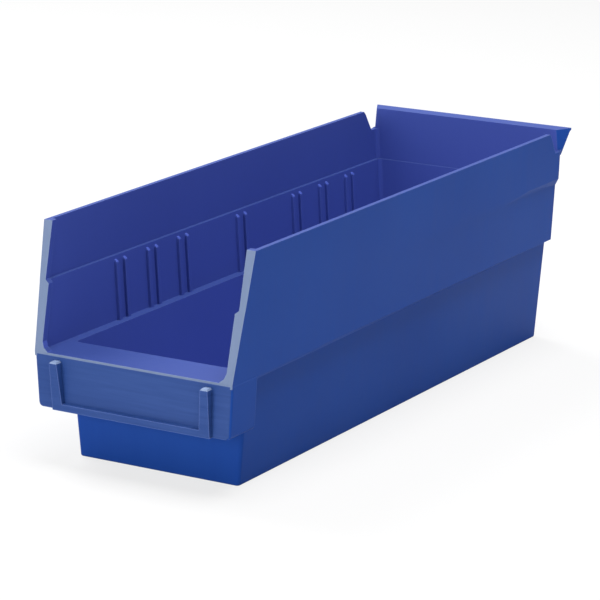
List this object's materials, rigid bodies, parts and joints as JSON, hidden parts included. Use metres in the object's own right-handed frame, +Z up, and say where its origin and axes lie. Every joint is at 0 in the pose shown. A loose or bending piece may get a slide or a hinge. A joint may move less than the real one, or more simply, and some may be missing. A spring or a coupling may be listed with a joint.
{
  "type": "shelf bin",
  "caption": "Open-front plastic shelf bin: drafted tub with stepped walls, hopper lip, label holder, divider slots inside and a rear lip for hanging.",
  "frame": {"origin": "middle of the underside of the part's box: on the surface that the floor panel rests on, midway between the label holder's face and the rear lip's tip", "axes": "+Z up, +Y to the rear, +X to the right seen from the front"},
  "size_m": [0.1046, 0.2954, 0.1016],
  "materials": {
    "blue_plastic": "satin moulded polypropylene with fine vertical tool lines"
  },
  "bodies": {
    "root": {"floor_panel": "blue_plastic", "left_lower_wall": "blue_plastic", "right_lower_wall": "blue_plastic", "left_ledge": "blue_plastic", "right_ledge": "blue_plastic", "left_mid_wall": "blue_plastic", "right_mid_wall": "blue_plastic", "left_upper_wall": "blue_plastic", "right_upper_wall": "blue_plastic", "left_front_flange": "blue_plastic", "right_front_flange": "blue_plastic", "left_divider_ribs": "blue_plastic", "right_divider_ribs": "blue_plastic", "left_nose_cheek": "blue_plastic", "right_nose_cheek": "blue_plastic", "front_wall": "blue_plastic", "hopper_lip": "blue_plastic", "label_panel": "blue_plastic", "label_rail_left": "blue_plastic", "label_rail_right": "blue_plastic", "label_rail_bottom": "blue_plastic", "rear_lower_wall": "blue_plastic", "rear_mid_wall": "blue_plastic", "rear_upper_wall": "blue_plastic", "rear_top_rail": "blue_plastic", "rear_hang_lip": "blue_plastic"}
  },
  "joints": []
}
